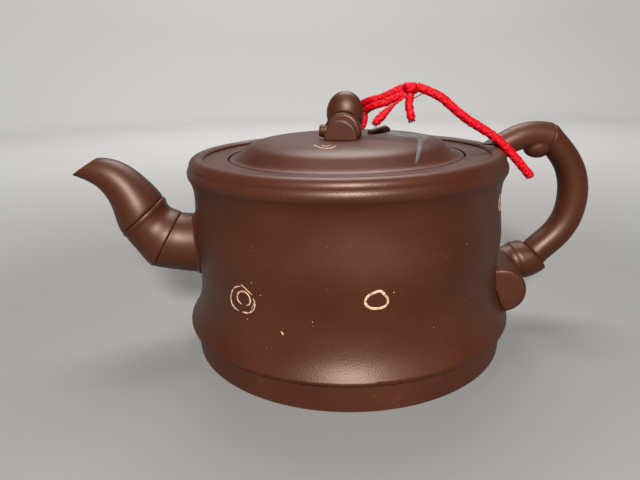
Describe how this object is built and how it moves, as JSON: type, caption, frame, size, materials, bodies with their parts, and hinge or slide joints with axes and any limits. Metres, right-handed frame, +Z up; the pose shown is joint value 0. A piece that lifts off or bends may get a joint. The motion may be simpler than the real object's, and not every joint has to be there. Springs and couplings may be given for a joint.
{
  "type": "yixing clay teapot",
  "caption": "Unglazed purple-clay teapot shaped like cut bamboo, with a flush lift-off lid, bridge knob, bamboo spout and handle, and a red cord tied to the knob.",
  "frame": {"origin": "centre of the foot's flat underside, on the pot's axis", "axes": "+Z up the pot's axis, +X towards the handle, -X towards the spout, -Y towards the viewer"},
  "size_m": [0.1759, 0.1104, 0.0869],
  "materials": {
    "clay": "satin unglazed purple clay",
    "cord": "satin braided cord"
  },
  "bodies": {
    "pot": {"foot_band": "clay", "floor_disc": "clay", "body_wall": "clay", "rim_band": "clay", "shoulder_plate": "clay", "lid_seat": "clay", "strainer": "clay", "spout_base": "clay", "spout_middle": "clay", "spout_ring": "clay", "spout_beak": "clay", "handle_bar": "clay", "handle_elbow": "clay", "handle_bud": "clay", "handle_bow": "clay", "handle_collar": "clay", "handle_root": "clay", "handle_stub": "clay"},
    "lid_collar": {"lid_flange": "clay"},
    "lid": {"lid_plate": "clay", "knob_front_foot": "clay", "knob_front_ring": "clay", "knob_arch": "clay", "knob_rear_foot": "clay", "knob_twig": "clay", "lid_twig": "clay", "cord_loop": "cord", "cord_long_tail": "cord", "cord_short_tail": "cord", "cord_low_tail": "cord", "cord_knot": "cord"}
  },
  "joints": [
    {"name": "lid_lift", "type": "slide", "parent": "pot", "child": "lid_collar", "axis": [0, 0, 1], "range_m": [0, 0.06]},
    {"name": "lid_turn", "type": "hinge", "parent": "lid_collar", "child": "lid", "pos_m": [0, 0, 0.0635], "axis": [0, 0, 1], "continuous": true}
  ]
}
